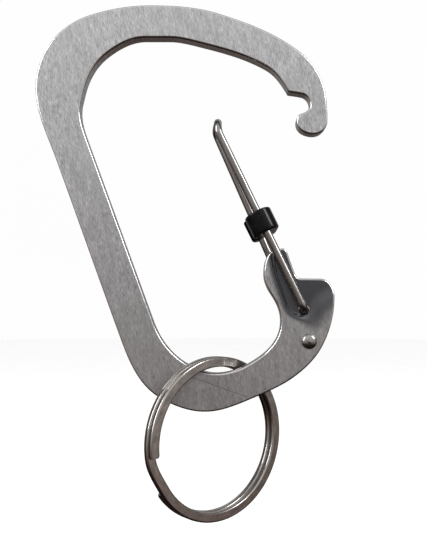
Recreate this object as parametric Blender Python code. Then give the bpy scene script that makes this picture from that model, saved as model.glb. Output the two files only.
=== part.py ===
"""Carabiner keyring: a flat steel hook plate, a wire gate sprung by its own two offset pivots,
a moulded lock that slides along the gate, and a split ring hanging on the lower bar.

The plate stands in the XZ plane with its front face towards -Y and Z along the closed gate.
The origin is the top of the inner arch, where a peg or a belt loop bears, in the middle of the
plate's thickness. All constants are millimetres and degrees; meshes are written in metres.
The gate is drawn held open, which is its rest position.
"""

import math

import bmesh
import bpy
from mathutils import Vector

MM = 0.001

# Hook plate
PLATE_THICKNESS = 3.0
PLATE_EDGE_RADIUS = 0.35
RECESS_DEPTH = 0.5
CURVE_STEP = 7.5

# Wire gate: one bent wire, hung on two holes that are not in line
WIRE_RADIUS = 0.75
LEG_DEPTH = 2.45
ELBOW_RADIUS = 1.3
FRONT_PIVOT = (28.88, -51.0)
REAR_PIVOT = (29.80, -56.95)
GATE_TIP = (12.70, -15.75)
LEGS_MEET = (11.88, -16.13)
FRONT_BEND_POWER = 1.3
REAR_BEND_POWER = 4.0
TIP_SPLIT_GAP = 0.06
FRONT_HOLE_RADIUS = 0.85
REAR_HOLE_RADIUS = 1.1
HEAD_GAP = 0.08
DOME_RADIUS = 1.45
DOME_HEIGHT = 0.85
FLAT_HEAD_RADIUS = 1.2
FLAT_HEAD_HEIGHT = 0.5
WIRE_SIDES = 16

# Slide lock
LOCK_LENGTH = 4.3
LOCK_END_RADIUS = 2.6
LOCK_HALF_DEPTH = 3.9
LOCK_EDGE_RADIUS = 0.45
LOCK_HEIGHT_ON_LEG = 17.9
CHANNEL_RADIUS = 0.9
REAR_CHANNEL_SPAN = (-1.08, 0.6)
LOCK_REAR_SHIFT = -0.35
LOCK_SLANT = -0.12
TANG_SLOT_FLOOR = -1.7
TANG_SLOT_HALF_WIDTH = 1.2

# Split ring
RING_OUTER_RADIUS = 15.5
RING_RADIAL_WIDTH = 1.9
RING_TURN_THICKNESS = 1.25
RING_TURN_PITCH = 1.33
RING_YAW = 39.0
RING_SEAT = (12.34, -62.99)
RING_SEAT_GAP = 1.2
RING_STEPS_PER_TURN = 60
RING_CROSSOVER = (334.0, 357.0)
RING_END_ANGLE = 692.0
RING_END_TURN = 215.0

# Knots of the plate's outline, walked clockwise with the steel on the right: x, z and heading in
# degrees. Every stretch between two knots is one smooth curve. The walk starts and ends at the
# sharp corner between the inner arch and the latch notch.
INNER_ARCH = [
    (25.98, -10.22, 121),
    (21.87, -5.46, 150),
    (9.91, -1.16, 166),
    (3.5, 0.0, 180),
    (-0.9, 0.0, 180),
    (-4.4, -0.72, 203),
    (-8.22, -3.03, 218),
    (-12.56, -10.32, 257),
    (-13.16, -13.68, 270),
    (-11.89, -19.10, 290),
    (0.56, -53.31, 290),
]
LOWER_BAR_INSIDE = [
    (7.48, -61.53, 334),
    (12.34, -62.99, 0),
    (17.76, -61.63, 28),
    (23.74, -56.49, 62),
    (24.54, -52.93, 92),
    (22.90, -48.45, 124),
    (21.35, -44.34, 90),
]
TANG_AND_SHOULDER = [
    (22.71, -40.07, 45),
    (24.75, -39.5, 12),
    (25.75, -40.2, -70),
    (26.95, -43.6, -70),
    (28.3, -45.15, 0),
    (31.9, -45.18, 0),
    (34.62, -48.64, -92),
]
OUTER_SIDE = [
    (34.30, -52.0, -100),
    (32.15, -58.15, -119),
    (27.10, -63.59, -143.5),
    (19.55, -67.51, -157),
    (10.28, -70.19, 180),
    (1.87, -67.61, 150),
    (-6.17, -54.80, 110),
    (-17.72, -22.65, 110),
    (-21.51, -9.38, 90),
    (-19.03, -1.38, 56),
    (-11.40, 4.21, 18),
    (0.0, 6.07, 0),
    (13.12, 4.45, -18),
    (24.92, -0.49, -31),
    (30.37, -4.90, -52),
    (33.08, -11.81, -86),
]
NOSE_AND_NOTCH = [
    (33.25, -15.7, -92),
    (30.65, -18.15, 180),
    (27.45, -15.7, 90),
    (28.35, -14.25, 15),
    (30.0, -12.65, 90),
    (28.50, -10.62, 168),
    (25.98, -10.22, 172),
]
PLATE_OUTLINE = INNER_ARCH + LOWER_BAR_INSIDE + TANG_AND_SHOULDER + OUTER_SIDE + NOSE_AND_NOTCH

# Pressed recesses that let the gate's two legs lie close to the plate. The first three knots of
# each close it beyond the plate's edge.
FRONT_RECESS = [
    (40.0, -46.0, 90),
    (40.0, -36.0, 180),
    (22.6, -36.0, -90),
    (22.9, -41.5, -84),
    (23.9, -45.7, -70),
    (25.35, -49.8, -72),
    (27.2, -52.0, -20),
    (29.0, -52.3, 0),
    (30.8, -51.0, 58),
    (32.4, -49.2, 32),
    (40.0, -46.0, 20),
]
BACK_RECESS = [
    (40.0, -46.0, 90),
    (40.0, -36.0, 180),
    (22.6, -36.0, -90),
    (22.9, -41.5, -84),
    (23.9, -45.7, -70),
    (25.6, -51.0, -72),
    (27.6, -57.0, -70),
    (29.8, -58.5, 0),
    (31.6, -56.9, 80),
    (33.0, -50.5, 65),
    (40.0, -46.0, 20),
]


def clear_scene():
    for item in list(bpy.data.objects):
        bpy.data.objects.remove(item, do_unlink=True)


def material(name, colour, roughness, metallic):
    made = bpy.data.materials.new(name)
    made.use_nodes = True
    shader = made.node_tree.nodes["Principled BSDF"]
    shader.inputs["Base Color"].default_value = (*colour, 1.0)
    shader.inputs["Roughness"].default_value = roughness
    shader.inputs["Metallic"].default_value = metallic
    return made


def add_object(name, mesh, surface):
    made = bpy.data.objects.new(name, mesh)
    bpy.context.scene.collection.objects.link(made)
    if surface is not None:
        made.data.materials.append(surface)
    made.data.shade_smooth()
    made.data.set_sharp_from_angle(angle=math.radians(35.0))
    return made


def turn_between(start, end):
    return (end - start + 180.0) % 360.0 - 180.0


def curve_through(knots, step=CURVE_STEP):
    """Points along a chain of smooth curves that pass each (x, z, heading) knot."""
    points = []
    for (x0, z0, h0), (x1, z1, h1) in zip(knots, knots[1:]):
        turn = math.radians(abs(turn_between(h0, h1)))
        chord = math.hypot(x1 - x0, z1 - z0)
        handle = chord / 3.0
        if turn > 0.01:
            handle = chord * (4.0 / 3.0) * math.tan(turn / 4.0) / (2.0 * math.sin(turn / 2.0))
        a0, a1 = math.radians(h0), math.radians(h1)
        p0, p3 = Vector((x0, z0)), Vector((x1, z1))
        p1 = p0 + handle * Vector((math.cos(a0), math.sin(a0)))
        p2 = p3 - handle * Vector((math.cos(a1), math.sin(a1)))
        count = max(1, math.ceil(math.degrees(turn) / step))
        for i in range(count):
            t = i / count
            s = 1.0 - t
            points.append(s**3 * p0 + 3 * s * s * t * p1 + 3 * s * t * t * p2 + t**3 * p3)
    return points


def arc(centre, radius, start, end, count):
    """Points on a circle from one angle to another, both ends included."""
    angles = [math.radians(start + (end - start) * i / count) for i in range(count + 1)]
    return [Vector((centre[0] + radius * math.cos(a), centre[1] + radius * math.sin(a)))
            for a in angles]


def signed_area(points):
    return 0.5 * sum(a.x * b.y - b.x * a.y for a, b in zip(points, points[1:] + points[:1]))


def inset(points, distance):
    """The counter-clockwise loop moved inwards, each corner along its mitre."""
    moved = []
    for i, here in enumerate(points):
        before = (here - points[i - 1]).normalized()
        after = (points[(i + 1) % len(points)] - here).normalized()
        normal_before = Vector((-before.y, before.x))
        normal_after = Vector((-after.y, after.x))
        mitre = (normal_before + normal_after).normalized()
        moved.append(here + mitre * distance / max(0.5, mitre.dot(normal_before)))
    return moved


def rounding_levels(half_height, radius):
    """(height, inset) pairs that roll a slab's edge over from one face to the other."""
    if radius == 0.0:
        return [(-half_height, 0.0), (half_height, 0.0)]
    low = [(-half_height + radius * (1.0 - math.sin(a)), radius * (1.0 - math.cos(a)))
           for a in (math.pi / 2.0, math.pi / 4.0, 0.0)]
    return low + [(-height, inward) for height, inward in reversed(low)]


def slab(name, outline, half_height, radius, place, surface):
    """A solid drawn by a flat outline: place(a, b, height) gives each corner in millimetres."""
    loop = outline if signed_area(outline) > 0.0 else outline[::-1]
    mesh = bpy.data.meshes.new(name)
    shape = bmesh.new()
    rings = []
    for height, inward in rounding_levels(half_height, radius):
        corners = inset(loop, inward) if inward else loop
        rings.append([shape.verts.new(place(p.x, p.y, height) * MM) for p in corners])
    for low, high in zip(rings, rings[1:]):
        for i in range(len(loop)):
            j = (i + 1) % len(loop)
            shape.faces.new((low[i], low[j], high[j], high[i]))
    shape.faces.new(rings[0][::-1])
    shape.faces.new(rings[-1])
    bmesh.ops.recalc_face_normals(shape, faces=shape.faces)
    shape.to_mesh(mesh)
    shape.free()
    return add_object(name, mesh, surface)


def cut(target, cutter):
    cutter.hide_render = True
    cutter.display_type = "WIRE"
    hollow = target.modifiers.new(cutter.name, "BOOLEAN")
    hollow.operation = "DIFFERENCE"
    hollow.solver = "EXACT"
    hollow.object = cutter


def swept(name, stations, across, surface, sides=WIRE_SIDES):
    """A round bar through (centre, direction, radius) stations that lie in one plane."""
    mesh = bpy.data.meshes.new(name)
    shape = bmesh.new()
    rings = []
    for centre, direction, radius in stations:
        up = direction.cross(across)
        angles = [2.0 * math.pi * i / sides for i in range(sides)]
        rings.append([shape.verts.new((centre + radius * (math.cos(a) * across
                                                          + math.sin(a) * up)) * MM)
                      for a in angles])
    for low, high in zip(rings, rings[1:]):
        for i in range(sides):
            j = (i + 1) % sides
            shape.faces.new((low[i], low[j], high[j], high[i]))
    shape.faces.new(rings[0][::-1])
    shape.faces.new(rings[-1])
    bmesh.ops.recalc_face_normals(shape, faces=shape.faces)
    shape.to_mesh(mesh)
    shape.free()
    return add_object(name, mesh, surface)


def in_plate(x, z, depth):
    return Vector((x, depth, z))


def make_plate(surface):
    plate = slab("body_plate", curve_through(PLATE_OUTLINE), PLATE_THICKNESS / 2.0,
                 PLATE_EDGE_RADIUS, in_plate, surface)
    for name, knots, side in (("front_recess", FRONT_RECESS, -1.0),
                              ("back_recess", BACK_RECESS, 1.0)):
        floor = PLATE_THICKNESS / 2.0 - RECESS_DEPTH
        cutter = slab(name, curve_through(knots, 15.0), 1.0, 0.0,
                      lambda x, z, depth, at=side * (floor + 1.0): Vector((x, at + depth, z)),
                      None)
        cut(plate, cutter)
    for name, pivot, radius in (("front_hole", FRONT_PIVOT, FRONT_HOLE_RADIUS),
                                ("rear_hole", REAR_PIVOT, REAR_HOLE_RADIUS)):
        circle = arc(pivot, radius, 0.0, 360.0, 24)[:-1]
        cut(plate, slab(name, circle, PLATE_THICKNESS, 0.0, in_plate, None))
    return plate


def leg_frame(pivot):
    """Length of a leg from its pivot to where the two legs meet, its direction, and across it."""
    run = Vector((LEGS_MEET[0] - pivot[0], 0.0, LEGS_MEET[1] - pivot[1]))
    along = run.normalized()
    return run.length, along, along.cross(Vector((0.0, -1.0, 0.0))).normalized()


def head_stations(kind):
    """(distance out from the plate's face, radius) from a peened head's top down to its base."""
    if kind == "dome":
        angles = [math.radians(a) for a in (80.0, 60.0, 40.0, 20.0, 0.0)]
        return [(DOME_HEIGHT * math.sin(a), DOME_RADIUS * math.cos(a)) for a in angles]
    chamfer = 0.15
    return [(FLAT_HEAD_HEIGHT, FLAT_HEAD_RADIUS - chamfer),
            (FLAT_HEAD_HEIGHT - chamfer, FLAT_HEAD_RADIUS),
            (0.0, FLAT_HEAD_RADIUS)]


def make_gate_leg(name, pivot, side, head, face_depth, surface):
    """Half of the gate wire: head, pin through the plate, elbow, leg and half of the end bend.

    side is -1 for the leg in front of the plate and 1 for the leg behind it. The end bend leads
    sideways from each straight leg to the tip they share, the front half sooner than the rear.
    """
    length, along, across = leg_frame(pivot)
    sideways = Vector((GATE_TIP[0] - LEGS_MEET[0], 0.0, GATE_TIP[1] - LEGS_MEET[1]))
    power = FRONT_BEND_POWER if side < 0 else REAR_BEND_POWER
    origin = Vector((pivot[0], 0.0, pivot[1]))
    outward = Vector((0.0, float(side), 0.0))
    stations = []
    base = face_depth + HEAD_GAP
    for out, radius in head_stations(head):
        stations.append((origin - outward * (base + out), outward, radius))
    stations.append((origin - outward * base, outward, WIRE_RADIUS))
    elbow = origin + along * ELBOW_RADIUS + outward * (LEG_DEPTH - ELBOW_RADIUS)
    for turn in range(0, 91, 15):
        a = math.radians(turn)
        heading = outward * math.cos(a) + along * math.sin(a)
        spoke = outward * math.sin(a) - along * math.cos(a)
        stations.append((elbow + spoke * ELBOW_RADIUS, heading, WIRE_RADIUS))
    bend = origin + along * (length - LEG_DEPTH)
    split = math.degrees(math.asin(TIP_SPLIT_GAP / 2.0 / LEG_DEPTH))
    for turn in (0.0, 15.0, 30.0, 45.0, 60.0, 75.0, 90.0 - split):
        a = math.radians(turn)
        heading = along * math.cos(a) - outward * math.sin(a)
        spoke = outward * math.cos(a) + along * math.sin(a)
        jog = sideways * math.sin(a) ** power
        stations.append((bend + spoke * LEG_DEPTH + jog, heading, WIRE_RADIUS))
    # The last ring lies flat in the plane where the two halves of the bend meet.
    meeting = Vector((GATE_TIP[0], side * TIP_SPLIT_GAP / 2.0, GATE_TIP[1]))
    stations[-1] = (meeting, -outward, WIRE_RADIUS)
    return swept(name, stations, across, surface)


def lock_outline(count):
    """A belt round two circles; the rear one stands a little to the side, after the rear leg."""
    half = LOCK_HALF_DEPTH - LOCK_END_RADIUS
    lean = math.degrees(math.atan2(-LOCK_REAR_SHIFT, 2.0 * half))
    rear = arc((LOCK_REAR_SHIFT, half), LOCK_END_RADIUS, lean, 180.0 + lean, count)
    front = arc((0.0, -half), LOCK_END_RADIUS, 180.0 + lean, 360.0 + lean, count)
    return rear + front


def make_slide_lock(surface):
    _, along, across = leg_frame(FRONT_PIVOT)
    middle = Vector((FRONT_PIVOT[0], 0.0, FRONT_PIVOT[1])) + along * LOCK_HEIGHT_ON_LEG

    def in_lock(a, b, height):
        """across the leg, back through the plate, and up the leg; the rear sits lower."""
        return middle + across * a + Vector((0.0, b, 0.0)) + along * (height + LOCK_SLANT * b)

    lock = slab("slide_lock", lock_outline(12), LOCK_LENGTH / 2.0, LOCK_EDGE_RADIUS, in_lock, surface)
    circle = arc((0.0, -LEG_DEPTH), CHANNEL_RADIUS, 0.0, 360.0, 20)[:-1]
    cut(lock, slab("front_channel", circle, LOCK_LENGTH, 0.0, in_lock, None))
    low, high = REAR_CHANNEL_SPAN
    slot = (arc((high, LEG_DEPTH), CHANNEL_RADIUS, -90.0, 90.0, 10)
            + arc((low, LEG_DEPTH), CHANNEL_RADIUS, 90.0, 270.0, 10))
    cut(lock, slab("rear_channel", slot, LOCK_LENGTH, 0.0, in_lock, None))
    outside = -2.0 * LOCK_END_RADIUS
    tang_slot = [Vector((outside, -TANG_SLOT_HALF_WIDTH)),
                 Vector((TANG_SLOT_FLOOR, -TANG_SLOT_HALF_WIDTH)),
                 Vector((TANG_SLOT_FLOOR, TANG_SLOT_HALF_WIDTH)),
                 Vector((outside, TANG_SLOT_HALF_WIDTH))]
    cut(lock, slab("tang_slot", tang_slot, LOCK_LENGTH, 0.0, in_lock, None))
    return lock


def ring_offset(angle):
    """Distance along the ring's axis of the wire's middle at an angle along its two turns."""
    begin, end = RING_CROSSOVER
    t = min(1.0, max(0.0, (angle - begin) / (end - begin)))
    rise = t * t * (3.0 - 2.0 * t)
    return RING_TURN_PITCH * (rise - 0.5)


def ring_section():
    """Corners of the flat wire's rounded section: radial and axial offsets."""
    half_width = RING_RADIAL_WIDTH / 2.0
    half_thickness = RING_TURN_THICKNESS / 2.0
    side, face = 0.42, 0.28
    return [(half_width, half_thickness - side), (half_width - face, half_thickness),
            (face - half_width, half_thickness), (-half_width, half_thickness - side),
            (-half_width, side - half_thickness), (face - half_width, -half_thickness),
            (half_width - face, -half_thickness), (half_width, side - half_thickness)]


def make_split_ring(surface):
    yaw = math.radians(RING_YAW)
    across = Vector((math.cos(yaw), math.sin(yaw), 0.0))
    up = Vector((0.0, 0.0, 1.0))
    axis = across.cross(up)
    inner = RING_OUTER_RADIUS - RING_RADIAL_WIDTH
    centre = Vector((RING_SEAT[0], 0.0, RING_SEAT[1] + RING_SEAT_GAP - inner))
    middle = RING_OUTER_RADIUS - RING_RADIAL_WIDTH / 2.0
    section = ring_section()
    mesh = bpy.data.meshes.new("split_ring")
    shape = bmesh.new()
    rings = []
    steps = round(RING_END_ANGLE / 360.0 * RING_STEPS_PER_TURN)
    for i in range(steps + 1):
        angle = RING_END_ANGLE * i / steps
        a = math.radians(angle + RING_END_TURN)
        radial = across * math.cos(a) + up * math.sin(a)
        at = centre + radial * middle + axis * ring_offset(angle)
        rings.append([shape.verts.new((at + radial * r + axis * z) * MM) for r, z in section])
    count = len(section)
    for low, high in zip(rings, rings[1:]):
        for i in range(count):
            j = (i + 1) % count
            shape.faces.new((low[i], low[j], high[j], high[i]))
    shape.faces.new(rings[0][::-1])
    shape.faces.new(rings[-1])
    bmesh.ops.recalc_face_normals(shape, faces=shape.faces)
    shape.to_mesh(mesh)
    shape.free()
    return add_object("split_ring", mesh, surface)


def main():
    clear_scene()
    brushed = material("brushed_steel", (0.42, 0.42, 0.43), 0.38, 1.0)
    polished = material("polished_wire", (0.60, 0.59, 0.58), 0.15, 1.0)
    black = material("black_plastic", (0.012, 0.012, 0.013), 0.22, 0.0)
    nickel = material("nickel_ring", (0.62, 0.59, 0.55), 0.18, 1.0)
    half = PLATE_THICKNESS / 2.0
    make_plate(brushed)
    make_gate_leg("gate_wire_front", FRONT_PIVOT, -1, "flat", half - RECESS_DEPTH, polished)
    make_gate_leg("gate_wire_rear", REAR_PIVOT, 1, "dome", half, polished)
    make_slide_lock(black)
    make_split_ring(nickel)


main()
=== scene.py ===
import math

import bpy
import numpy as np
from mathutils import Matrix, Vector
from mathutils.geometry import delaunay_2d_cdt


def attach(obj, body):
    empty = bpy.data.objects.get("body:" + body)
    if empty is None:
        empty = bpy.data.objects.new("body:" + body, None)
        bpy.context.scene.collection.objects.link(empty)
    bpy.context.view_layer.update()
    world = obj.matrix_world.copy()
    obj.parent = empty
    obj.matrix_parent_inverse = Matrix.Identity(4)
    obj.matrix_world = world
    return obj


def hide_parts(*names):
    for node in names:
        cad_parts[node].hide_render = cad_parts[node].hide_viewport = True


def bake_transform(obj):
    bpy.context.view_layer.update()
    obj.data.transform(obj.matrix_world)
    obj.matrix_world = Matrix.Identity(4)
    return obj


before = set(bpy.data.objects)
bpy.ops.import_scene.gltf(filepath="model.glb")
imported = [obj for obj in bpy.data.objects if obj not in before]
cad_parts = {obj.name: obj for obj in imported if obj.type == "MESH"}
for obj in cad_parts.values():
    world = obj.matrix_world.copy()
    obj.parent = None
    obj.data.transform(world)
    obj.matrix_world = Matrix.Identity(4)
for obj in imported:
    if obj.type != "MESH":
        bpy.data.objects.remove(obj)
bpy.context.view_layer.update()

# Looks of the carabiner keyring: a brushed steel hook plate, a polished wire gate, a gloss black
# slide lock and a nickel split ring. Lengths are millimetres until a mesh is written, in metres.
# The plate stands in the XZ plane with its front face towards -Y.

MM = 0.001

# ---------------------------------------------------------------- driving sizes

# Sizes and knots that the CAD also has are the same here. The others only round and shade it.

HALF_PLATE = 1.5
EDGE_RADIUS = 0.35
DISH_DEPTH = 0.5

# A dish's wall begins and ends at these distances inside its outline. It is steep on the
# spine's side and softens towards the shoulder. Its painted dark shade reaches further than its drop.
DISH_STEEP_WALL = (-0.30, 0.45)
DISH_SOFT_WALL = (-1.60, 1.95)
DISH_SOFT_FROM_X = 27.0
DISH_SOFT_OVER = 4.5
DISH_PAINTED_SHADE_SPREAD = 0.85

WIRE_RADIUS = 0.75
LEG_DEPTH = 2.45
ELBOW_RADIUS = 1.3
FRONT_PIVOT = (28.88, -51.0)
REAR_PIVOT = (29.80, -56.95)
GATE_TIP = (12.70, -15.75)
LEGS_MEET = (11.88, -16.13)
FRONT_BEND_POWER = 1.3
REAR_BEND_POWER = 4.0
FRONT_HOLE_RADIUS = 0.85
REAR_HOLE_RADIUS = 1.1
HEAD_GAP = 0.08
DOME_RADIUS = 1.45
DOME_HEIGHT = 0.85
FLAT_HEAD_RADIUS = 1.2
FLAT_HEAD_HEIGHT = 0.5

LOCK_LENGTH = 4.3
LOCK_END_RADIUS = 2.6
LOCK_HALF_DEPTH = 3.9
LOCK_EDGE_RADIUS = 0.45
LOCK_END_STEPS = 32
LOCK_EDGE_STEPS = 6
LOCK_BROKEN_EDGE = 0.1
LOCK_HEIGHT_ON_LEG = 17.9
CHANNEL_RADIUS = 0.9
REAR_CHANNEL_SPAN = (-1.08, 0.6)
LOCK_REAR_SHIFT = -0.35
LOCK_SLANT = -0.12
TANG_SLOT_FLOOR = -1.7
TANG_SLOT_HALF_WIDTH = 1.2
TANG_SLOT_ROUNDING = 0.25

RING_OUTER_RADIUS = 15.5
RING_RADIAL_WIDTH = 1.9
RING_TURN_THICKNESS = 1.25
RING_TURN_PITCH = 1.33
RING_YAW = 39.0
RING_SEAT = (12.34, -62.99)
RING_SEAT_GAP = 1.2
RING_CROSSOVER = (334.0, 357.0)
RING_END_ANGLE = 692.0
RING_END_TURN = 215.0
RING_STEPS = 440
RING_SIDE_ROUNDING = 0.42
RING_FACE_ROUNDING = 0.34
RING_END_TAPER = 0.55
RING_END_SCALES = [(0.0, 0.80), (0.25, 0.90), (0.6, 0.97), (1.0, 1.0)]

# Knots of the plate's outline: x, z and heading in degrees, walked with the steel on the right.
INNER_ARCH = [
    (25.98, -10.22, 121),
    (21.87, -5.46, 150),
    (9.91, -1.16, 166),
    (3.5, 0.0, 180),
    (-0.9, 0.0, 180),
    (-4.4, -0.72, 203),
    (-8.22, -3.03, 218),
    (-12.56, -10.32, 257),
    (-13.16, -13.68, 270),
    (-11.89, -19.10, 290),
    (0.56, -53.31, 290),
]
LOWER_BAR_INSIDE = [
    (7.48, -61.53, 334),
    (12.34, -62.99, 0),
    (17.76, -61.63, 28),
    (23.74, -56.49, 62),
    (24.54, -52.93, 92),
    (22.90, -48.45, 124),
    (21.35, -44.34, 90),
]
TANG_AND_SHOULDER = [
    (22.71, -40.07, 45),
    (24.75, -39.5, 12),
    (25.75, -40.2, -70),
    (26.95, -43.6, -70),
    (28.3, -45.15, 0),
    (31.9, -45.18, 0),
    (34.62, -48.64, -92),
]
OUTER_SIDE = [
    (34.30, -52.0, -100),
    (32.15, -58.15, -119),
    (27.10, -63.59, -143.5),
    (19.55, -67.51, -157),
    (10.28, -70.19, 180),
    (1.87, -67.61, 150),
    (-6.17, -54.80, 110),
    (-17.72, -22.65, 110),
    (-21.51, -9.38, 90),
    (-19.03, -1.38, 56),
    (-11.40, 4.21, 18),
    (0.0, 6.07, 0),
    (13.12, 4.45, -18),
    (24.92, -0.49, -31),
    (30.37, -4.90, -52),
    (33.08, -11.81, -86),
]
NOSE_AND_NOTCH = [
    (33.25, -15.7, -92),
    (30.65, -18.15, 180),
    (27.45, -15.7, 90),
    (28.35, -14.25, 15),
    (30.0, -12.65, 90),
    (28.50, -10.62, 168),
    (25.98, -10.22, 172),
]
PLATE_OUTLINE = INNER_ARCH + LOWER_BAR_INSIDE + TANG_AND_SHOULDER + OUTER_SIDE + NOSE_AND_NOTCH

# The pressed dishes that the gate's legs lie in. The first three knots close them off the plate.
FRONT_DISH = [
    (40.0, -46.0, 90),
    (40.0, -36.0, 180),
    (22.6, -36.0, -90),
    (22.9, -41.5, -84),
    (23.9, -45.7, -70),
    (25.35, -49.8, -72),
    (27.2, -52.0, -20),
    (29.0, -52.3, 0),
    (30.8, -51.0, 58),
    (32.4, -49.2, 32),
    (40.0, -46.0, 20),
]
BACK_DISH = [
    (40.0, -46.0, 90),
    (40.0, -36.0, 180),
    (22.6, -36.0, -90),
    (22.9, -41.5, -84),
    (23.9, -45.7, -70),
    (25.6, -51.0, -72),
    (27.6, -57.0, -70),
    (29.8, -58.5, 0),
    (31.6, -56.9, 80),
    (33.0, -50.5, 65),
    (40.0, -46.0, 20),
]


# ---------------------------------------------------------------- curves and fields

def curve_through(knots, turn_step, length_step):
    """Points along a chain of smooth curves that pass each (x, z, heading) knot."""
    points = []
    for (x0, z0, h0), (x1, z1, h1) in zip(knots, knots[1:]):
        turn = math.radians(abs((h1 - h0 + 180.0) % 360.0 - 180.0))
        chord = math.hypot(x1 - x0, z1 - z0)
        handle = chord / 3.0
        if turn > 0.01:
            handle = chord * (4.0 / 3.0) * math.tan(turn / 4.0) / (2.0 * math.sin(turn / 2.0))
        a0, a1 = math.radians(h0), math.radians(h1)
        p0, p3 = np.array((x0, z0)), np.array((x1, z1))
        p1 = p0 + handle * np.array((math.cos(a0), math.sin(a0)))
        p2 = p3 - handle * np.array((math.cos(a1), math.sin(a1)))
        count = max(1, math.ceil(math.degrees(turn) / turn_step), math.ceil(chord / length_step))
        for i in range(count):
            t = i / count
            s = 1.0 - t
            points.append(s**3 * p0 + 3 * s * s * t * p1 + 3 * s * t * t * p2 + t**3 * p3)
    return np.array(points)


def loop_area(points):
    nxt = np.roll(points, -1, axis=0)
    return 0.5 * float(np.sum(points[:, 0] * nxt[:, 1] - nxt[:, 0] * points[:, 1]))


def loop_normals(points):
    """Outward unit normals of a counter-clockwise loop, and each corner's mitre stretch."""
    before = points - np.roll(points, 1, axis=0)
    after = np.roll(points, -1, axis=0) - points
    before /= np.linalg.norm(before, axis=1)[:, None]
    after /= np.linalg.norm(after, axis=1)[:, None]
    n0 = np.stack((before[:, 1], -before[:, 0]), axis=1)
    n1 = np.stack((after[:, 1], -after[:, 0]), axis=1)
    mitre = n0 + n1
    mitre /= np.linalg.norm(mitre, axis=1)[:, None]
    stretch = 1.0 / np.maximum(0.5, np.sum(mitre * n0, axis=1))
    return mitre, stretch


def distance_to_loop(points, loop):
    """Unsigned distance of each point to a closed loop's nearest edge."""
    best = np.full(len(points), 1e9)
    ends = np.roll(loop, -1, axis=0)
    for a, b in zip(loop, ends):
        run = b - a
        t = np.clip(((points - a) @ run) / max(1e-12, float(run @ run)), 0.0, 1.0)
        gap = np.hypot(*(points - a - t[:, None] * run).T)
        best = np.minimum(best, gap)
    return best


def inside_loop(points, loop):
    """Whether each point is inside a closed loop."""
    inside = np.zeros(len(points), bool)
    ends = np.roll(loop, -1, axis=0)
    x, z = points[:, 0], points[:, 1]
    for (x0, z0), (x1, z1) in zip(loop, ends):
        if z0 == z1:
            continue
        crosses = (z0 > z) != (z1 > z)
        inside ^= crosses & (x < (x1 - x0) * (z - z0) / (z1 - z0) + x0)
    return inside


def smooth(t):
    t = np.clip(t, 0.0, 1.0)
    return t * t * (3.0 - 2.0 * t)


class Dish:
    """A pressed dish: how far the face sinks at a point, steep on the spine's side, soft elsewhere."""

    def __init__(self, knots):
        self.loop = curve_through(knots, 6.0, 1.0)

    def share(self, points, spread=0.0):
        """1 on the dish's floor and 0 outside it, the dish made wider by spread."""
        gap = distance_to_loop(points, self.loop)
        soft = smooth((points[:, 0] - DISH_SOFT_FROM_X) / DISH_SOFT_OVER)
        depth = np.where(inside_loop(points, self.loop), gap, -gap)
        depth += spread * (1.0 + 2.0 * soft)
        begin, end = (steep + (mild - steep) * soft
                      for steep, mild in zip(DISH_STEEP_WALL, DISH_SOFT_WALL))
        return smooth((depth - begin) / (end - begin))

    def drop(self, points):
        return DISH_DEPTH * self.share(points)

    def slope(self, points):
        """How fast the face sinks along x and z."""
        step = 0.02
        along_x = self.drop(points + (step, 0.0)) - self.drop(points - (step, 0.0))
        along_z = self.drop(points + (0.0, step)) - self.drop(points - (0.0, step))
        return np.stack((along_x, along_z), axis=1) / (2.0 * step)


# ---------------------------------------------------------------- meshes

def facing(face, corners, normals):
    """The face, turned over if its winding disagrees with its corners' normals."""
    points = [Vector(corners[v]) for v in face]
    across = Vector((0.0, 0.0, 0.0))
    for a, b in zip(points, points[1:] + points[:1]):
        across += (a - points[0]).cross(b - points[0])
    wanted = sum((Vector(normals[v]) for v in face), Vector((0.0, 0.0, 0.0)))
    return tuple(face) if across.dot(wanted) >= 0.0 else tuple(reversed(face))


def add_mesh(name, corners, faces, normals=None, attributes=None, uvs=None, material=None):
    """An object from corners in millimetres, faces, and what each corner carries."""
    if normals is not None:
        faces = [facing(f, corners, normals) for f in faces]
    mesh = bpy.data.meshes.new(name)
    mesh.from_pydata([tuple(float(c) * MM for c in p) for p in corners], [], faces)
    for key, values in (attributes or {}).items():
        layer = mesh.attributes.new(key, "FLOAT", "POINT")
        layer.data.foreach_set("value", np.asarray(values, np.float32))
    if uvs is not None:
        layer = mesh.uv_layers.new(name="UVMap")
        unwrapped = [uvs[loop.vertex_index] for loop in mesh.loops]
        layer.data.foreach_set("uv", np.asarray(unwrapped, np.float32).ravel())
    mesh.shade_smooth()
    if normals is not None:
        mesh.normals_split_custom_set_from_vertices([tuple(n) for n in normals])
    made = bpy.data.objects.new(name, mesh)
    bpy.context.scene.collection.objects.link(made)
    if material is not None:
        mesh.materials.append(material)
    return made


def bridge(low, high):
    """Quads between two closed rings of corner numbers."""
    count = len(low)
    return [(low[i], low[(i + 1) % count], high[(i + 1) % count], high[i]) for i in range(count)]


class Build:
    """Corners, faces and per-corner values of a mesh while it is being put together."""

    def __init__(self, *keys):
        self.corners, self.faces, self.normals = [], [], []
        self.values = {key: [] for key in keys}

    def corner(self, place, normal, **values):
        self.corners.append(tuple(float(c) for c in place))
        length = math.sqrt(sum(float(c) ** 2 for c in normal)) or 1.0
        self.normals.append(tuple(float(c) / length for c in normal))
        for key, kept in self.values.items():
            kept.append(float(values.get(key, 0.0)))
        return len(self.corners) - 1

    def strip(self, low, high):
        self.faces += bridge(low, high)

    def finish(self, name, material):
        return add_mesh(name, self.corners, self.faces, self.normals, self.values,
                        material=material)


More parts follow.
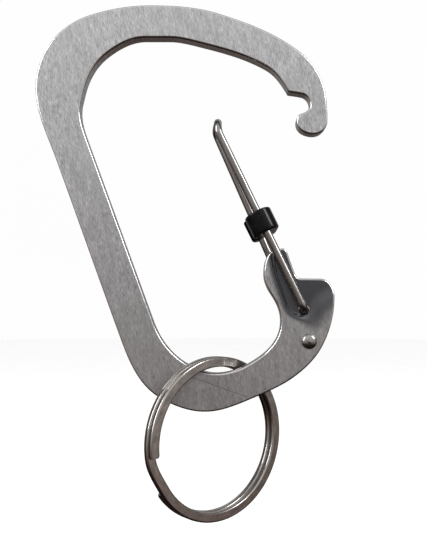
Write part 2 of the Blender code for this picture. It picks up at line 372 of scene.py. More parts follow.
def add_tube(name, rings, ends, material):
    """A closed bar from rings of (corner, normal, uv), each with its seam repeated.

    ends holds the directions that its first and its last face look in.
    """
    corners, normals, uvs = [], [], []

    def add(corner, normal, uv):
        corners.append(corner)
        normals.append(normal)
        uvs.append(uv)
        return len(corners) - 1

    placed = [[add(*point) for point in ring] for ring in rings]
    count = len(rings[0]) - 1
    faces = []
    for low, high in zip(placed, placed[1:]):
        for i in range(count):
            faces.append((low[i], low[i + 1], high[i + 1], high[i]))
    for ring, outward in zip((rings[0], rings[-1]), ends):
        faces.append(tuple(add(corner, outward, uv) for corner, _, uv in ring[:count]))
    return add_mesh(name, corners, faces, normals, uvs=uvs, material=material)


def circle(centre, radius, count):
    a = np.arange(count) * 2.0 * math.pi / count
    return np.stack((centre[0] + radius * np.cos(a), centre[1] + radius * np.sin(a)), axis=1)


def grid(x_span, z_span, step):
    return np.array([(x, z) for x in np.arange(*x_span, step) for z in np.arange(*z_span, step)])


# ---------------------------------------------------------------- hook plate

PLATE_TURN_STEP = 2.5
PLATE_LENGTH_STEP = 0.55
RIM_STEPS = 6
PLATE_HOLES = ((FRONT_PIVOT, FRONT_HOLE_RADIUS), (REAR_PIVOT, REAR_HOLE_RADIUS))
HOLE_CHAMFER = 0.1
HOLE_SIDES = 40

# The corners spread over a face: rings close to its edge and round its holes, a fine grid over
# the dished head and a coarse one elsewhere.
EDGE_RINGS = (0.47, 0.62, 0.85)
HOLE_RINGS = (0.16, 0.4)
GRID_FROM_EDGE = 1.0
GRID_FROM_HOLE = 0.55
HEAD_X = (20.0, 35.5)
HEAD_Z = (-61.0, -38.0)
HEAD_STEP = 0.3
WHOLE_X = (-22.0, 35.0)
WHOLE_Z = (-71.0, 7.0)
WHOLE_STEP = 1.4


def moved_in(outline, outward, stretch, distance):
    return outline - outward * (distance * stretch)[:, None]


def add_rim_ring(build, edge, dish, side, a):
    """A ring of corners on the rolled edge; a turns from 0 at the wall to a right angle."""
    places = moved_in(*edge, EDGE_RADIUS * (1.0 - math.cos(a)))
    height = HALF_PLATE - dish.drop(places) - EDGE_RADIUS * (1.0 - math.sin(a))
    # The dish value below is painted shade as well as the dish's smoother finish.
    painted_shade = dish.share(places, DISH_PAINTED_SHADE_SPREAD)
    ring = []
    for p, n, h, s, d in zip(places, edge[1], height, dish.slope(places), painted_shade):
        face = Vector((s[0], 1.0, s[1])).normalized()
        face.y *= side
        normal = Vector((n[0], 0.0, n[1])) * math.cos(a) + face * math.sin(a)
        ring.append(build.corner((p[0], side * h, p[1]), normal, rim=math.sin(2.0 * a),
                                 wall=math.cos(a) ** 2, dish=d))
    return places, ring


def add_hole_mouth(build, dish, side, pivot, radius):
    """The chamfer of a hole on one face: where it meets the face, and its two rings of corners."""
    wide = circle(pivot, radius + HOLE_CHAMFER, HOLE_SIDES)
    narrow = circle(pivot, radius, HOLE_SIDES)
    spokes = (narrow - np.array(pivot)) / radius
    outer, inner = [], []
    # The dish share here gives the chamfer painted shade as well as its smoother finish.
    for w, n, o, s, d in zip(wide, narrow, spokes, dish.slope(wide), dish.share(wide)):
        h = HALF_PLATE - DISH_DEPTH * d
        outer.append(build.corner((w[0], side * h, w[1]),
                                  (s[0] - 0.5 * o[0], side, s[1] - 0.5 * o[1]),
                                  rim=0.6, dish=d))
        inner.append(build.corner((n[0], side * (h - HOLE_CHAMFER), n[1]),
                                  (-o[0], side * 0.4, -o[1]), rim=0.4, wall=0.6, dish=d))
    build.strip(outer, inner)
    return wide, outer, inner


def face_points(edge, places):
    """Points spread over a face of the plate, inside the ring of places where it starts."""
    outline = edge[0]
    clouds = []
    for inward in EDGE_RINGS:
        moved = moved_in(*edge, inward)
        kept = distance_to_loop(moved, outline) > 0.97 * inward
        clouds.append(moved[kept & inside_loop(moved, places)])
    for pivot, radius in PLATE_HOLES:
        for wider in HOLE_RINGS:
            clouds.append(circle(pivot, radius + HOLE_CHAMFER + wider, HOLE_SIDES))
    fine = grid(HEAD_X, HEAD_Z, HEAD_STEP)
    coarse = grid(WHOLE_X, WHOLE_Z, WHOLE_STEP)
    x, z = coarse.T
    coarse = coarse[(x < HEAD_X[0]) | (z < HEAD_Z[0]) | (z > HEAD_Z[1])]
    for cloud in (fine, coarse):
        kept = inside_loop(cloud, outline) & (distance_to_loop(cloud, outline) > GRID_FROM_EDGE)
        for pivot, radius in PLATE_HOLES:
            away = np.hypot(*(cloud - np.array(pivot)).T)
            kept &= away > radius + HOLE_CHAMFER + GRID_FROM_HOLE
        clouds.append(cloud[kept])
    return np.concatenate(clouds)


def fill_face(build, dish, side, places, ring, mouths, spread):
    """Triangles over one face, through the spread points and up to its edge and its holes."""
    known = list(ring)
    for _, outer, _ in mouths:
        known += outer
    # Each spread corner carries the dish's painted shade.
    for p, s, h, shade in zip(spread, dish.slope(spread), HALF_PLATE - dish.drop(spread),
                              dish.share(spread, DISH_PAINTED_SHADE_SPREAD)):
        known.append(build.corner((p[0], side * h, p[1]), (s[0], side, s[1]), dish=shade))
    loops = [places] + [wide for wide, _, _ in mouths]
    edges, start = [], 0
    for loop in loops:
        count = len(loop)
        edges += [(start + i, start + (i + 1) % count) for i in range(count)]
        start += count
    flat = [Vector(p) for p in np.concatenate(loops + [spread])]
    found = delaunay_2d_cdt(flat, edges, [], 0, 1e-7)
    corners, triangles, origin = np.array([tuple(c) for c in found[0]]), found[2], found[3]
    middles = np.array([corners[list(t)].mean(axis=0) for t in triangles])
    kept = inside_loop(middles, places)
    for pivot, radius in PLATE_HOLES:
        kept &= np.hypot(*(middles - np.array(pivot)).T) > (radius + HOLE_CHAMFER) * 0.995
    build.faces += [tuple(known[origin[v][0]] for v in t) for t, k in zip(triangles, kept) if k]


def make_plate(material):
    """The hook plate: rolled edges, a dished shoulder on both faces, two drilled holes."""
    outline = curve_through(PLATE_OUTLINE, PLATE_TURN_STEP, PLATE_LENGTH_STEP)
    if loop_area(outline) < 0.0:
        outline = outline[::-1].copy()
    edge = (outline, *loop_normals(outline))
    # rim and wall mark the edges; dish marks the smoother pressed floor and its painted shade.
    build = Build("rim", "wall", "dish")
    dishes = {-1: Dish(FRONT_DISH), 1: Dish(BACK_DISH)}
    rings, starts = [], {}
    for side, order in ((-1, range(RIM_STEPS, -1, -1)), (1, range(RIM_STEPS + 1))):
        for i in order:
            places, ring = add_rim_ring(build, edge, dishes[side], side,
                                        0.5 * math.pi * i / RIM_STEPS)
            rings.append(ring)
            if i == RIM_STEPS:
                starts[side] = (places, ring)
    for low, high in zip(rings, rings[1:]):
        build.strip(low, high)
    mouths = {-1: [], 1: []}
    for pivot, radius in PLATE_HOLES:
        for side in (-1, 1):
            mouths[side].append(add_hole_mouth(build, dishes[side], side, pivot, radius))
        build.strip(mouths[1][-1][2], mouths[-1][-1][2])
    spread = face_points(edge, starts[1][0])
    for side in (-1, 1):
        fill_face(build, dishes[side], side, *starts[side], mouths[side], spread)
    plate = build.finish("plate_steel", material)
    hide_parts("body_plate")
    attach(plate, "plate")


# ---------------------------------------------------------------- wire gate

WIRE_SIDES = 32
LEG_STEPS = 26
STEEPEST_LEAN = 4.0


def leg_frame(pivot):
    """Length of a leg from its pivot to where the two legs meet, its direction, and across it."""
    run = Vector((LEGS_MEET[0] - pivot[0], 0.0, LEGS_MEET[1] - pivot[1]))
    along = run.normalized()
    return run.length, along, along.cross(Vector((0.0, -1.0, 0.0))).normalized()


def wire_through(name, stations, material, start=0.0):
    """A round bar through (centre, direction, radius, across) stations, closed at both ends."""
    rings = []
    walked = start
    for k, (centre, direction, radius, across) in enumerate(stations):
        up = direction.cross(across).normalized()
        if k > 0:
            walked += (centre - stations[k - 1][0]).length
        lean = 0.0
        if 0 < k < len(stations) - 1:
            back, ahead = stations[k - 1], stations[k + 1]
            run = (ahead[0] - back[0]).dot(direction)
            lean = (ahead[2] - back[2]) / run if abs(run) > 1e-6 else 0.0
            lean = max(-STEEPEST_LEAN, min(STEEPEST_LEAN, lean))
        ring = []
        for i in range(WIRE_SIDES + 1):
            a = 2.0 * math.pi * i / WIRE_SIDES
            out = math.cos(a) * across + math.sin(a) * up
            ring.append((centre + radius * out, (out - lean * direction).normalized(),
                         (i / WIRE_SIDES, walked)))
        rings.append(ring)
    return add_tube(name, rings, (-stations[0][1], stations[-1][1]), material)


def dome_profile():
    """(distance out from the plate, radius) of the peened dome, from its top to its base."""
    angles = [math.radians(a) for a in (88, 84, 78, 70, 62, 54, 46, 38, 30, 22, 14, 7, 0)]
    return [(DOME_HEIGHT * math.sin(a), DOME_RADIUS * math.cos(a)) for a in angles]


def flat_head_profile():
    """The same for the flat head: an almost level top, a rounded shoulder and a straight side."""
    top, radius, shoulder, crown = FLAT_HEAD_HEIGHT, FLAT_HEAD_RADIUS, 0.2, 0.015
    made = [(top, 0.02), (top, 0.5 * radius), (top - crown, radius - 1.3 * shoulder)]
    for angle in (75, 60, 45, 30, 15, 0):
        a = math.radians(angle)
        made.append((top - shoulder + (shoulder - crown) * math.sin(a),
                     radius - shoulder + shoulder * math.cos(a)))
    return made + [(0.0, radius)]


def pin_stations(pivot, side, profile, head_face):
    """From the head, through the plate, round the elbow to where the straight leg begins."""
    _, along, across = leg_frame(pivot)
    origin = Vector((pivot[0], 0.0, pivot[1]))
    outward = Vector((0.0, float(side), 0.0))
    base = head_face + HEAD_GAP
    made = [(origin - outward * (base + out), outward, radius, across)
            for out, radius in profile]
    made.append((origin - outward * base, outward, WIRE_RADIUS, across))
    made.append((origin, outward, WIRE_RADIUS, across))
    elbow = origin + along * ELBOW_RADIUS + outward * (LEG_DEPTH - ELBOW_RADIUS)
    for turn in range(0, 91, 6):
        a = math.radians(turn)
        heading = outward * math.cos(a) + along * math.sin(a)
        spoke = outward * math.sin(a) - along * math.cos(a)
        made.append((elbow + spoke * ELBOW_RADIUS, heading, WIRE_RADIUS, across))
    return made


def leg_stations(pivot, side):
    """From the elbow's end along the leg and round half of the end bend to the shared tip."""
    length, along, across = leg_frame(pivot)
    sideways = Vector((GATE_TIP[0] - LEGS_MEET[0], 0.0, GATE_TIP[1] - LEGS_MEET[1]))
    power = FRONT_BEND_POWER if side < 0 else REAR_BEND_POWER
    origin = Vector((pivot[0], 0.0, pivot[1]))
    outward = Vector((0.0, float(side), 0.0))
    made = []
    straight = length - LEG_DEPTH - ELBOW_RADIUS
    for i in range(LEG_STEPS):
        at = origin + along * (ELBOW_RADIUS + straight * i / LEG_STEPS) + outward * LEG_DEPTH
        made.append((at, along, WIRE_RADIUS, across))
    bend = origin + along * (length - LEG_DEPTH)
    for turn in range(0, 91, 5):
        a = math.radians(turn)
        heading = along * math.cos(a) - outward * math.sin(a)
        spoke = outward * math.cos(a) + along * math.sin(a)
        jog = sideways * math.sin(a) ** power
        made.append((bend + spoke * LEG_DEPTH + jog, heading, WIRE_RADIUS, across))
    return made


def make_gate(material):
    """The gate's one wire from elbow to elbow, and the pin and head at each of its ends."""
    front = leg_stations(FRONT_PIVOT, -1)
    rear = leg_stations(REAR_PIVOT, 1)
    joined = front[:-1]
    joined.append((Vector((GATE_TIP[0], 0.0, GATE_TIP[1])), Vector((0.0, 1.0, 0.0)), WIRE_RADIUS,
                   (front[-1][3] + rear[-1][3]).normalized()))
    for centre, direction, radius, across in reversed(rear[:-1]):
        joined.append((centre, -direction, radius, across))
    bail = wire_through("gate_bail", joined, material, start=4.0)
    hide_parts("gate_wire_front", "gate_wire_rear")
    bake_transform(bail)
    front_pin = wire_through("gate_pin_front", pin_stations(
        FRONT_PIVOT, -1, flat_head_profile(), HALF_PLATE - DISH_DEPTH), material)
    rear_pin = wire_through("gate_pin_rear", pin_stations(
        REAR_PIVOT, 1, dome_profile(), HALF_PLATE), material)
    for pin, body in ((front_pin, "gate_front"), (rear_pin, "gate_rear")):
        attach(pin, body)


# ---------------------------------------------------------------- slide lock

def arc(centre, radius, start, count):
    """Points on half a circle, both ends included, from a start angle in radians."""
    angles = [start + math.pi * i / count for i in range(count + 1)]
    return [(centre[0] + radius * math.cos(a), centre[1] + radius * math.sin(a)) for a in angles]


def lock_outline():
    """A belt round two circles; the rear one stands a little to the side, after the rear leg."""
    half = LOCK_HALF_DEPTH - LOCK_END_RADIUS
    lean = math.atan2(-LOCK_REAR_SHIFT, 2.0 * half)
    return (arc((LOCK_REAR_SHIFT, half), LOCK_END_RADIUS, lean, LOCK_END_STEPS)
            + arc((0.0, -half), LOCK_END_RADIUS, lean + math.pi, LOCK_END_STEPS))


def lock_levels():
    """(height, inset) pairs up the lock's outside, its two end edges rolled over."""
    half = LOCK_LENGTH / 2.0
    low = []
    for i in range(LOCK_EDGE_STEPS + 1):
        a = 0.5 * math.pi * (1.0 - i / LOCK_EDGE_STEPS)
        low.append((-half + LOCK_EDGE_RADIUS * (1.0 - math.sin(a)),
                    LOCK_EDGE_RADIUS * (1.0 - math.cos(a))))
    side = half - LOCK_EDGE_RADIUS
    straight = [(h, 0.0) for h in np.linspace(-side, side, 6)[1:-1]]
    return low + straight + [(-height, inward) for height, inward in reversed(low)]


def lock_hollows():
    """Outlines cut through the lock: a channel for each leg, and the slot that passes the tang."""
    front = [tuple(p) for p in circle((0.0, -LEG_DEPTH), CHANNEL_RADIUS, 40)]
    low, high = REAR_CHANNEL_SPAN
    rear = (arc((high, LEG_DEPTH), CHANNEL_RADIUS, -0.5 * math.pi, 20)
            + arc((low, LEG_DEPTH), CHANNEL_RADIUS, 0.5 * math.pi, 20))
    outside = -2.0 * LOCK_END_RADIUS
    floor, w, r = TANG_SLOT_FLOOR, TANG_SLOT_HALF_WIDTH, TANG_SLOT_ROUNDING
    slot = [(outside, -w), (floor - r, -w), (floor - 0.3 * r, -w + 0.3 * r), (floor, -w + r),
            (floor, w - r), (floor - 0.3 * r, w - 0.3 * r), (floor - r, w), (outside, w)]
    return {"cut_front": front, "cut_rear": rear, "cut_slot": slot}


def hollow_out(body, cutters):
    """Cut the cutters out of the body, break its sharp edges, and keep only the result."""
    for cutter in cutters:
        hollow = body.modifiers.new(cutter.name, "BOOLEAN")
        hollow.operation = "DIFFERENCE"
        hollow.solver = "EXACT"
        hollow.object = cutter
    bevel = body.modifiers.new("bevel", "BEVEL")
    bevel.limit_method = "ANGLE"
    bevel.angle_limit = math.radians(38.0)
    bevel.width = LOCK_BROKEN_EDGE * MM
    bevel.segments = 3
    evaluated = body.evaluated_get(bpy.context.evaluated_depsgraph_get())
    hollowed = bpy.data.meshes.new_from_object(evaluated)
    body.modifiers.clear()
    solid = body.data
    body.data = hollowed
    bpy.data.meshes.remove(solid)
    for cutter in cutters:
        bpy.data.objects.remove(cutter, do_unlink=True)


def make_lock(material):
    """A moulded barrel with two wire channels and a slot that passes over the tang."""
    _, along, across = leg_frame(FRONT_PIVOT)
    middle = Vector((FRONT_PIVOT[0], 0.0, FRONT_PIVOT[1])) + along * LOCK_HEIGHT_ON_LEG
    depth = Vector((0.0, 1.0, 0.0))

    def place(a, b, height):
        return tuple(middle + across * a + depth * b + along * (height + LOCK_SLANT * b))

    def stack(name, levels, surface=None):
        """A solid through (outline, height) levels of the same number of points."""
        corners = [place(a, b, height) for outline, height in levels for a, b in outline]
        count = len(levels[0][0])
        rings = [range(k * count, (k + 1) * count) for k in range(len(levels))]
        faces = [quad for low, high in zip(rings, rings[1:]) for quad in bridge(low, high)]
        faces += [tuple(rings[0])[::-1], tuple(rings[-1])]
        return add_mesh(name, corners, faces, material=surface)

    loop = np.array(lock_outline())
    edge = (loop, *loop_normals(loop))
    body = stack("slide_lock_barrel",
                 [(moved_in(*edge, inward), height) for height, inward in lock_levels()], material)
    cutters = []
    for name, outline in lock_hollows().items():
        outline = np.array(outline)
        if loop_area(outline) < 0.0:
            outline = outline[::-1]
        cutters.append(stack(name, [(outline, -LOCK_LENGTH), (outline, LOCK_LENGTH)]))
    hollow_out(body, cutters)
    body.data.shade_smooth()
    body.data.set_sharp_from_angle(angle=math.radians(40.0))
    weighted = body.modifiers.new("weighted", "WEIGHTED_NORMAL")
    weighted.keep_sharp = True
    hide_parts("slide_lock")
    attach(body, "lock")


# ---------------------------------------------------------------- split ring

def ring_offset(angle):
    """Distance along the ring's axis of the wire's middle at an angle along its turns."""
    begin, end = RING_CROSSOVER
    return RING_TURN_PITCH * (float(smooth((angle - begin) / (end - begin))) - 0.5)


def rounded_section(half_width, half_thickness, side, face, count):
    """A rounded rectangle: radial and axial offsets with their outward normals."""
    made = []
    for sr, sa, start in ((1, 1, 0.0), (-1, 1, 90.0), (-1, -1, 180.0), (1, -1, 270.0)):
        for i in range(count + 1):
            a = math.radians(start + 90.0 * i / count)
            c, s = math.cos(a), math.sin(a)
            made.append(((sr * (half_width - face) + face * c,
                          sa * (half_thickness - side) + side * s),
                         (c * side, s * face)))
    return made


def ring_stations(middle):
    """(angle, scale) along the turns, the wire drawn in a little over its two cut ends."""
    taper = math.degrees(RING_END_TAPER / middle)
    begin = [(taper * t, scale) for t, scale in RING_END_SCALES]
    finish = [(RING_END_ANGLE - angle, scale) for angle, scale in reversed(begin)]
    angles = [RING_END_ANGLE * i / RING_STEPS for i in range(RING_STEPS + 1)]
    return begin + [(a, 1.0) for a in angles if taper < a < RING_END_ANGLE - taper] + finish


def make_ring(material):
    """The key ring: one flat wire in almost two turns, side by side."""
    yaw = math.radians(RING_YAW)
    across = Vector((math.cos(yaw), math.sin(yaw), 0.0))
    up = Vector((0.0, 0.0, 1.0))
    axis = across.cross(up)
    inner = RING_OUTER_RADIUS - RING_RADIAL_WIDTH
    centre = Vector((RING_SEAT[0], 0.0, RING_SEAT[1] + RING_SEAT_GAP - inner))
    middle = RING_OUTER_RADIUS - RING_RADIAL_WIDTH / 2.0
    section = rounded_section(RING_RADIAL_WIDTH / 2.0, RING_TURN_THICKNESS / 2.0,
                              RING_SIDE_ROUNDING, RING_FACE_ROUNDING, 6)
    rings, headings = [], []
    for angle, scale in ring_stations(middle):
        a = math.radians(angle + RING_END_TURN)
        radial = across * math.cos(a) + up * math.sin(a)
        at = centre + radial * middle + axis * ring_offset(angle)
        ring = []
        for i, ((r, z), (nr, nz)) in enumerate(section + section[:1]):
            ring.append((at + (radial * r + axis * z) * scale,
                         (radial * nr + axis * nz).normalized(),
                         (i / len(section), math.radians(angle) * middle)))
        rings.append(ring)
        headings.append(up * math.cos(a) - across * math.sin(a))
    made = add_tube("key_split_ring", rings, (-headings[0], headings[-1]), material)
    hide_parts("split_ring")
    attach(made, "ring")


# ---------------------------------------------------------------- materials

WHITE = (1.0, 1.0, 1.0, 1)
BLACK = (0.0, 0.0, 0.0, 1)

STEEL_LOW = (0.385, 0.38, 0.39, 1)
STEEL_HIGH = (0.81, 0.80, 0.805, 1)
STEEL_PATCH = (0.55, 0.54, 0.55, 1)
# The pressed dishes' colour is painted shade: dark metal standing for shadow and dark reflection.
STEEL_DISH_PAINTED_SHADE = (0.125, 0.124, 0.136, 1)
STEEL_RIM = (0.82, 0.81, 0.80, 1)
STEEL_MARK = (0.10, 0.095, 0.09, 1)
WALL_LOW = (0.40, 0.38, 0.37, 1)
WALL_HIGH = (0.62, 0.60, 0.59, 1)
WIRE_LOW = (0.26, 0.245, 0.235, 1)
WIRE_HIGH = (0.46, 0.445, 0.43, 1)
PLASTIC_CLEAN = (0.002, 0.002, 0.0025, 1)
PLASTIC_SCUFFED = (0.010, 0.0095, 0.0095, 1)
NICKEL_LOW = (0.34, 0.31, 0.29, 1)
NICKEL_HIGH = (0.52, 0.49, 0.46, 1)
FLOOR_LOW = (0.955, 0.955, 0.955, 1)
FLOOR_HIGH = (0.985, 0.985, 0.985, 1)
TENT_LOW = (0.98, 0.98, 0.98, 1)

# The brushing leans to the left on its way up; each grain is thin across it and long along it.
BRUSH_TURN = math.radians(-12.0)
FINE_GRAIN = (0.15 * MM, 0.15 * MM, 0.95 * MM)
BROAD_GRAIN = (0.6 * MM, 0.6 * MM, 2.6 * MM)
SHEARED_GRAIN = (0.35 * MM, 2.0 * MM, 0.35 * MM)

# Marks on the lower bar: where each starts and ends, and half its width.
LONG_SCRATCH = ((6.4, -63.2), (17.9, -67.3), 0.11)
SHORT_SCRATCH = ((9.6, -65.6), (12.4, -69.6), 0.07)
SPECK = ((21.4, -65.8), (21.6, -65.9), 0.22)


class Nodes:
    """Short helpers over the node tree of a new material, or of a world."""

    def __init__(self, name, world=False):
        store = bpy.data.worlds if world else bpy.data.materials
        self.material = store.new(name)
        self.material.use_nodes = True
        self.tree = self.material.node_tree
        self.shader = self.tree.nodes["Background" if world else "Principled BSDF"]

    def add(self, kind, **settings):
        node = self.tree.nodes.new(kind)
        for key, value in settings.items():
            setattr(node, key, value)
        return node

    def link(self, source, target):
        self.tree.links.new(source, target)

    def put(self, value, socket):
        if hasattr(value, "is_output"):
            self.link(value, socket)
        else:
            socket.default_value = value

    def coordinates(self, kind):
        return self.add("ShaderNodeTexCoord").outputs[kind]

    def maths(self, operation, a, b=0.0):
        node = self.add("ShaderNodeMath", operation=operation)
        self.put(a, node.inputs[0])
        self.put(b, node.inputs[1])
        return node.outputs[0]

    def remap(self, value, low, high, to_low=0.0, to_high=1.0):
        node = self.add("ShaderNodeMapRange")
        node.clamp = True
        for v, key in ((value, "Value"), (low, "From Min"), (high, "From Max"),
                       (to_low, "To Min"), (to_high, "To Max")):
            self.put(v, node.inputs[key])
        return node.outputs[0]

    def mix(self, factor, a, b):
        node = self.add("ShaderNodeMix", data_type="RGBA")
        self.put(factor, node.inputs[0])
        self.put(a, node.inputs[6])
        self.put(b, node.inputs[7])
        return node.outputs[2]

    def attribute(self, name):
        return self.add("ShaderNodeAttribute", attribute_name=name).outputs["Fac"]

    def noise(self, vector, scale=1.0, detail=2.0, roughness=0.5):
        node = self.add("ShaderNodeTexNoise")
        self.link(vector, node.inputs["Vector"])
        node.inputs["Scale"].default_value = scale
        node.inputs["Detail"].default_value = detail
        node.inputs["Roughness"].default_value = roughness
        return node.outputs["Fac"]

    def stretched(self, vector, size, turn=0.0):
        """Coordinates for a texture whose features have this size, turned about Y."""
        node = self.add("ShaderNodeMapping", vector_type="TEXTURE")
        self.link(vector, node.inputs["Vector"])
        node.inputs["Rotation"].default_value = (0.0, turn, 0.0)
        node.inputs["Scale"].default_value = size
        return node.outputs[0]

    def split(self, vector):
        node = self.add("ShaderNodeSeparateXYZ")
        self.link(vector, node.inputs[0])
        return node.outputs[0], node.outputs[1], node.outputs[2]

    def near_line(self, x, z, start, end, half_width):
        """1 on a short straight line in the plate's plane, 0 away from it; millimetres."""
        ax, az = start[0] * MM, start[1] * MM
        dx, dz = end[0] * MM - ax, end[1] * MM - az
        length = math.hypot(dx, dz)
        ux, uz = dx / length, dz / length
        rx, rz = self.maths("SUBTRACT", x, ax), self.maths("SUBTRACT", z, az)
        along = self.maths("ADD", self.maths("MULTIPLY", rx, ux), self.maths("MULTIPLY", rz, uz))
        off = self.maths("SUBTRACT", self.maths("MULTIPLY", rz, ux),
                         self.maths("MULTIPLY", rx, uz))
        from_middle = self.maths("ABSOLUTE", self.maths("SUBTRACT", along, length / 2.0))
        past = self.maths("MAXIMUM", self.maths("SUBTRACT", from_middle, length / 2.0), 0.0)
        gap = self.maths("ADD", self.maths("ABSOLUTE", off), past)
        return self.remap(gap, 0.0, half_width * MM, 1.0, 0.0)

    def bump(self, height, strength, distance):
        node = self.add("ShaderNodeBump")
        self.link(height, node.inputs["Height"])
        node.inputs["Strength"].default_value = strength
        node.inputs["Distance"].default_value = distance
        return node.outputs[0]


def steel_material():
    """Brushed faces, painted shade in the pressed dishes, bright rolled edges and sheared walls."""
    look = Nodes("brushed_steel_look")
    place = look.coordinates("Object")
    x, _, z = look.split(place)
    rim, wall, dish = look.attribute("rim"), look.attribute("wall"), look.attribute("dish")
    fine = look.noise(look.stretched(place, FINE_GRAIN, BRUSH_TURN), 1.0, 3.0, 0.65)
    broad = look.noise(look.stretched(place, BROAD_GRAIN, BRUSH_TURN))
    cloud = look.noise(place, 150.0, 3.0, 0.55)
    sheared = look.noise(look.stretched(place, SHEARED_GRAIN), 1.0, 3.0, 0.6)
    grain = look.maths("ADD", look.maths("MULTIPLY", fine, 0.75),
                       look.maths("MULTIPLY", broad, 0.25))
    light = look.mix(look.remap(grain, 0.36, 0.64), STEEL_LOW, STEEL_HIGH)
    light = look.mix(look.remap(cloud, 0.35, 0.65, 0.0, 0.30), light, STEEL_PATCH)
    # Painted shade: the dishes are darkened where shadow and dark reflection fall on them.
    light = look.mix(look.maths("MULTIPLY", dish, 0.97), light, STEEL_DISH_PAINTED_SHADE)
    marks = look.maths("MAXIMUM", look.near_line(x, z, *LONG_SCRATCH),
                       look.maths("MULTIPLY", look.near_line(x, z, *SHORT_SCRATCH), 0.4))
    marks = look.maths("MAXIMUM", marks, look.near_line(x, z, *SPECK))
    light = look.mix(look.maths("MULTIPLY", marks, 0.75), light, STEEL_MARK)
    light = look.mix(look.maths("MULTIPLY", rim, 0.85), light, STEEL_RIM)
    dark = look.mix(look.remap(sheared, 0.35, 0.65), WALL_LOW, WALL_HIGH)
    look.link(look.mix(wall, light, dark), look.shader.inputs["Base Color"])
    look.shader.inputs["Metallic"].default_value = 1.0
    rough = look.remap(grain, 0.35, 0.65, 0.33, 0.45)
    for region, smoother in ((rim, 0.20), (wall, 0.14), (dish, 0.08)):
        rough = look.maths("SUBTRACT", rough, look.maths("MULTIPLY", region, smoother))
    look.link(rough, look.shader.inputs["Roughness"])
    look.shader.inputs["Anisotropic"].default_value = 0.45
    flat = look.maths("SUBTRACT", 1.0, look.maths("MAXIMUM", rim, wall))
    lift = look.maths("SUBTRACT", look.maths("MULTIPLY", grain, flat), marks)
    look.link(look.bump(lift, 0.35, 0.04 * MM), look.shader.inputs["Normal"])
    return look.material


def drawn_metal(name, colours, streak_size, wear_size, roughness, bump):
    """Round or flat wire: streaks along its length, and wear that roughens it in patches."""
    look = Nodes(name)
    unwrapped = look.coordinates("UV")
    streak = look.noise(look.stretched(unwrapped, streak_size), 1.0, 3.0, 0.6)
    wear = look.noise(look.stretched(unwrapped, wear_size), 1.0, 4.0, 0.65)
    look.link(look.mix(look.remap(streak, 0.35, 0.65), *colours),
              look.shader.inputs["Base Color"])
    look.shader.inputs["Metallic"].default_value = 1.0
    look.link(look.remap(wear, 0.35, 0.75, *roughness), look.shader.inputs["Roughness"])
    look.link(look.bump(streak, bump, 0.02 * MM), look.shader.inputs["Normal"])
    return look.material


def wire_material():
    return drawn_metal("polished_wire_look", (WIRE_LOW, WIRE_HIGH), (0.022, 3.0, 1.0),
                       (0.11, 0.45, 1.0), (0.09, 0.24), 0.25)


def nickel_material():
    return drawn_metal("nickel_ring_look", (NICKEL_LOW, NICKEL_HIGH), (0.035, 2.2, 1.0),
                       (0.16, 0.9, 1.0), (0.10, 0.28), 0.2)


def plastic_material():
    look = Nodes("black_plastic_look")
    place = look.coordinates("Object")
    cloud = look.noise(place, 1400.0, 3.0, 0.55)
    scuff_size = (0.4 * MM, 1.2 * MM, 1.6 * MM)
    scuff = look.noise(look.stretched(place, scuff_size, 0.43), 1.0, 4.0, 0.6)
    look.link(look.mix(look.remap(scuff, 0.55, 0.75), PLASTIC_CLEAN, PLASTIC_SCUFFED),
              look.shader.inputs["Base Color"])
    look.link(look.remap(cloud, 0.3, 0.7, 0.08, 0.20), look.shader.inputs["Roughness"])
    look.shader.inputs["IOR"].default_value = 1.45
    look.shader.inputs["Specular IOR Level"].default_value = 0.27
    look.link(look.bump(cloud, 0.12, 0.03 * MM), look.shader.inputs["Normal"])
    return look.material


def stage_material():
    look = Nodes("stage_look")
    grain = look.noise(look.coordinates("Object"), 40.0, 3.0)
    look.link(look.mix(grain, FLOOR_LOW, FLOOR_HIGH), look.shader.inputs["Base Color"])
    look.shader.inputs["Roughness"].default_value = 0.9
    look.shader.inputs["Specular IOR Level"].default_value = 0.1
    return look.material


def tent_material():
    look = Nodes("tent_look")
    look.link(look.mix(look.noise(look.coordinates("Object"), 3.0), TENT_LOW, WHITE),
              look.shader.inputs["Emission Color"])
    look.shader.inputs["Emission Strength"].default_value = 1.0
    look.shader.inputs["Base Color"].default_value = BLACK
    look.shader.inputs["Specular IOR Level"].default_value = 0.0
    return look.material


# ---------------------------------------------------------------- stage, lights, camera

FLOOR_Z = -135.0
STAGE_REACH = 1500.0
STAGE_SIDES = 96
TENT_STEPS = 13

# The mirrored studio: how strong it is, and the stretches of a mirrored direction's height (z)
# or depth (y, backwards) over which that changes.
DARK_LEVEL = 0.035
HORIZON_LEVEL = 0.60
SKY_LEVEL = 0.95
CENTRE_SHARE = 0.62
SIDE_SHARE = 0.18
REAR_SHARE = 0.68
BELOW_HORIZON = (-0.56, 0.02)
ABOVE_HORIZON = (0.0, 0.5)
STRAIGHT_AHEAD = (0.84, 0.97)
TOWARDS_SIDE = (-0.30, 0.10)
TOWARDS_REAR = (0.45, 0.80)
WARM_UNTIL = (-0.40, 0.0)
WARM_TINT = (1.0, 0.74, 0.64, 1)

OBJECT_MIDDLE_Z = -0.04


def round_sheet(name, levels, material, upwards=False):
    """A surface through circles of (radius, height), the first one filled in."""
    corners = []
    for radius, height in levels:
        corners += [(x, y, height) for x, y in circle((0.0, 0.0), radius, STAGE_SIDES)]
    rings = [range(k * STAGE_SIDES, (k + 1) * STAGE_SIDES) for k in range(len(levels))]
    faces = [quad for low, high in zip(rings, rings[1:]) for quad in bridge(low, high)]
    faces.append(tuple(rings[0])[::-1])
    if upwards:
        faces = [face[::-1] for face in faces]
    return add_mesh(name, corners, faces, material=material)


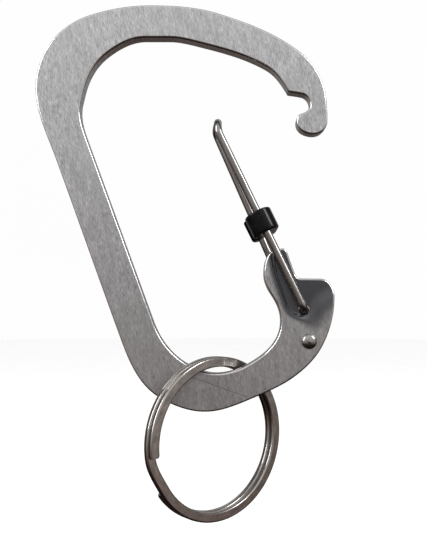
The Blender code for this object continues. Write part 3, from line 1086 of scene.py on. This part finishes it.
def make_stage(floor_look, tent_look):
    """A round pale floor under a white light tent; metal mirrors the studio beyond the tent."""
    floor = round_sheet("floor", [(radius, FLOOR_Z) for radius in (260.0, 700.0, STAGE_REACH)],
                        floor_look, upwards=True)
    lifts = [0.5 * math.pi * k / TENT_STEPS for k in reversed(range(TENT_STEPS))]
    tent = round_sheet("light_tent", [(STAGE_REACH * math.cos(a), FLOOR_Z + STAGE_REACH * math.sin(a))
                                      for a in lifts], tent_look)
    for piece in (floor, tent):
        piece.visible_glossy = False


def area_light(name, place, target, size, power):
    data = bpy.data.lights.new(name, "AREA")
    data.shape = "RECTANGLE"
    data.size, data.size_y = size
    data.energy = power
    lamp = bpy.data.objects.new(name, data)
    bpy.context.scene.collection.objects.link(lamp)
    lamp.location = place
    aim = Vector(target) - Vector(place)
    lamp.rotation_euler = aim.to_track_quat("-Z", "Y").to_euler()
    lamp.visible_camera = False


def make_world():
    """The studio that the metal mirrors: bright above, warm and dark below, dim at the sides."""
    look = Nodes("studio", world=True)
    bpy.context.scene.world = look.material
    _, y, z = look.split(look.add("ShaderNodeTexCoord").outputs["Generated"])
    rising = look.remap(z, *BELOW_HORIZON, DARK_LEVEL, HORIZON_LEVEL)
    sky = look.remap(z, *ABOVE_HORIZON, 0.0, SKY_LEVEL - HORIZON_LEVEL)
    shown = look.maths("ADD", rising, sky)
    ahead = look.remap(look.maths("ABSOLUTE", y), *STRAIGHT_AHEAD, 1.0, CENTRE_SHARE)
    shown = look.maths("MULTIPLY", shown, ahead)
    side = look.remap(y, *TOWARDS_SIDE, 1.0, SIDE_SHARE)
    behind = look.remap(y, *TOWARDS_REAR, 0.0, REAR_SHARE - SIDE_SHARE)
    shown = look.maths("MULTIPLY", shown, look.maths("ADD", side, behind))
    look.link(shown, look.shader.inputs["Strength"])
    look.link(look.mix(look.remap(z, *WARM_UNTIL), WARM_TINT, WHITE),
              look.shader.inputs["Color"])


def make_camera():
    data = bpy.data.cameras.new("camera")
    data.lens = 46.7
    data.sensor_width = 36.0
    data.shift_x = -0.0116
    data.shift_y = 0.0357
    data.clip_start = 0.005
    data.clip_end = 20.0
    camera = bpy.data.objects.new("camera", data)
    bpy.context.scene.collection.objects.link(camera)
    camera.location = (0.0131, -0.1375, -0.0492)
    camera.rotation_euler = (math.radians(90.0), 0.0, 0.0)
    bpy.context.scene.camera = camera


def main():
    steel, wire = steel_material(), wire_material()
    plastic, nickel = plastic_material(), nickel_material()
    make_plate(steel)
    make_gate(wire)
    make_lock(plastic)
    make_ring(nickel)
    make_stage(stage_material(), tent_material())
    make_world()
    area_light("key", (0.42, -0.22, 0.30), (0.01, 0.0, OBJECT_MIDDLE_Z), (0.16, 0.30), 1.2)
    area_light("fill", (-0.45, -0.20, 0.20), (0.0, 0.0, OBJECT_MIDDLE_Z), (0.12, 0.40), 1.2)
    make_camera()
    bpy.context.scene.view_settings.view_transform = "Standard"


main()
